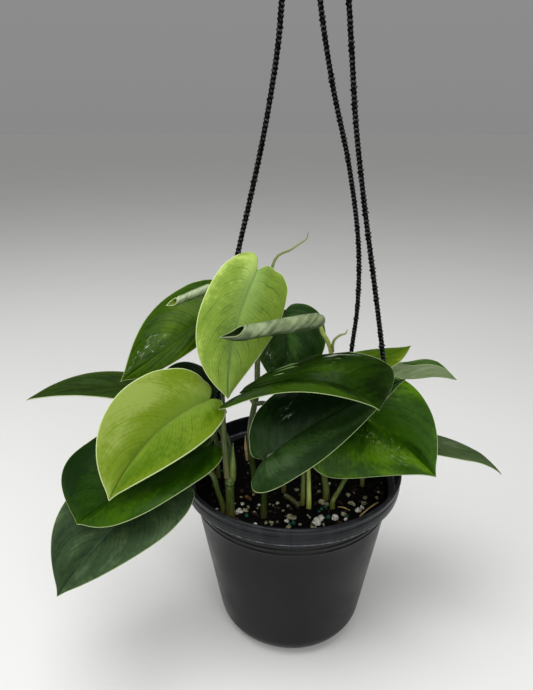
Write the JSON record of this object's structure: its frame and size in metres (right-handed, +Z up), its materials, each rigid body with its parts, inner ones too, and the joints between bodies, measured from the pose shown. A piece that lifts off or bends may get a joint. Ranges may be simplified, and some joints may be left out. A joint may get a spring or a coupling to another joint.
{
  "type": "potted satin pothos in hanging pot",
  "caption": "Heart-leaved satin pothos with stalks and rolled new leaves, growing in a round black plastic pot with a clip-on three-strand hanger and hook.",
  "frame": {"origin": "centre of the pot's flat base, on the surface it stands on", "axes": "+Z up along the pot's axis; -Y towards the plant's front, as in the picture; +X towards its right"},
  "size_m": [0.3356, 0.1893, 0.5371],
  "materials": {
    "pot": "satin",
    "soil": "matte",
    "hanger": "satin",
    "leaf_dark": "satin",
    "leaf_bright": "satin",
    "leaf_light": "satin",
    "leaf_underside": "satin",
    "leaf_new": "satin",
    "stalk": "satin",
    "sheath": "satin",
    "dried": "matte"
  },
  "bodies": {
    "root": {"pot": "pot", "soil": "soil", "hanger_strand_left": "hanger", "hanger_clip_left": "hanger", "hanger_strand_back": "hanger", "hanger_clip_back": "hanger", "hanger_strand_right": "hanger", "hanger_clip_right": "hanger", "hanger_hub": "hanger", "hanger_hook": "hanger", "leaf_tall_front": "leaf_light", "stalk_tall_front": "stalk", "leaf_behind_new": "leaf_dark", "stalk_behind_new": "stalk", "leaf_upper_left": "leaf_dark", "stalk_upper_left": "stalk", "leaf_far_left": "leaf_dark", "stalk_far_left": "stalk", "leaf_left_shaded": "leaf_dark", "stalk_left_shaded": "stalk", "leaf_left_light": "leaf_light", "stalk_left_light": "stalk", "leaf_left_dark": "leaf_dark", "stalk_left_dark": "stalk", "leaf_left_lowest": "leaf_dark", "stalk_left_lowest": "stalk", "leaf_centre_arched": "leaf_dark", "stalk_centre_arched": "stalk", "leaf_centre_front": "leaf_dark", "stalk_centre_front": "stalk", "leaf_right_glossy": "leaf_bright", "stalk_right_glossy": "stalk", "leaf_right_upper": "leaf_bright", "stalk_right_upper": "stalk", "leaf_right_back": "leaf_underside", "stalk_right_back": "stalk", "leaf_far_right": "leaf_dark", "stalk_far_right": "stalk", "leaf_back_centre": "leaf_dark", "stalk_back_centre": "stalk", "leaf_back_left": "leaf_dark", "stalk_back_left": "stalk", "leaf_new_rolled": "leaf_new", "stalk_new_rolled": "stalk", "leaf_new_small": "leaf_new", "stalk_new_small": "stalk", "stem_main": "stalk", "sheath_main": "sheath", "sheath_dried": "dried", "shoot_upper": "sheath", "shoot_right": "sheath", "stub_left": "dried", "stub_centre": "stalk"}
  },
  "joints": []
}
